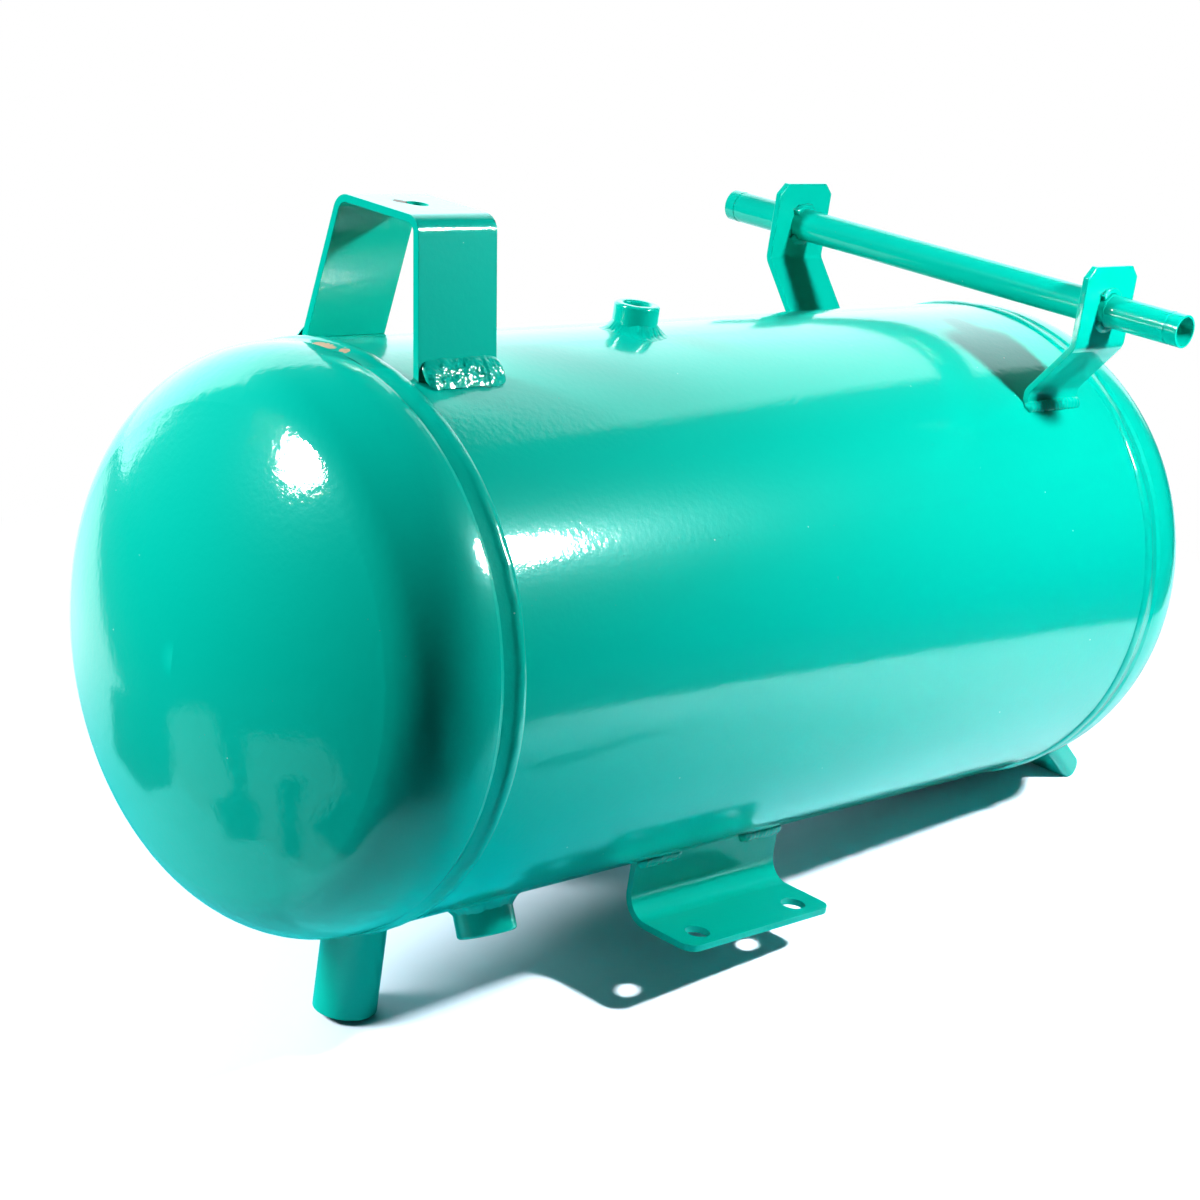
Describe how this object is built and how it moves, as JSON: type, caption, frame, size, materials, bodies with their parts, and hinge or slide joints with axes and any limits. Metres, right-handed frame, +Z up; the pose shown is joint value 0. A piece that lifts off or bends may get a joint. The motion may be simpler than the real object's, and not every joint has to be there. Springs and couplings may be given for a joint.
{
  "type": "compressed air tank",
  "caption": "Horizontal steel air receiver with dished ends, threaded bungs, a wheel axle on offset plates, feet and bent brackets for a pump.",
  "frame": {"origin": "on the vessel's middle plane across and along, level with the bottom end of the round leg", "axes": "+X along the tank from the strap foot to the axle end, +Y along the axle to the rear side, +Z up from the pump brackets to the axle"},
  "size_m": [0.7046, 0.346, 0.4385],
  "materials": {
    "enamel": "gloss",
    "enamel_weld": "gloss"
  },
  "bodies": {
    "root": {"shell": "enamel", "head_left": "enamel", "head_right": "enamel", "girth_weld_left": "enamel_weld", "girth_weld_right": "enamel_weld", "long_seam_weld": "enamel_weld", "top_bung": "enamel", "top_bung_weld": "enamel_weld", "side_bung": "enamel", "side_bung_weld": "enamel_weld", "foot_bracket": "enamel", "foot_weld_front": "enamel_weld", "foot_weld_rear": "enamel_weld", "axle_plate_front": "enamel", "axle_plate_rear": "enamel", "plate_weld_front": "enamel_weld", "plate_weld_rear": "enamel_weld", "axle_tube": "enamel", "axle_weld_front": "enamel_weld", "axle_weld_rear": "enamel_weld", "mount_bracket_front": "enamel", "mount_bracket_rear": "enamel", "mount_weld_front": "enamel_weld", "mount_weld_rear": "enamel_weld", "leg_tube": "enamel", "leg_weld": "enamel_weld", "end_foot": "enamel", "end_foot_weld": "enamel_weld"}
  },
  "joints": []
}
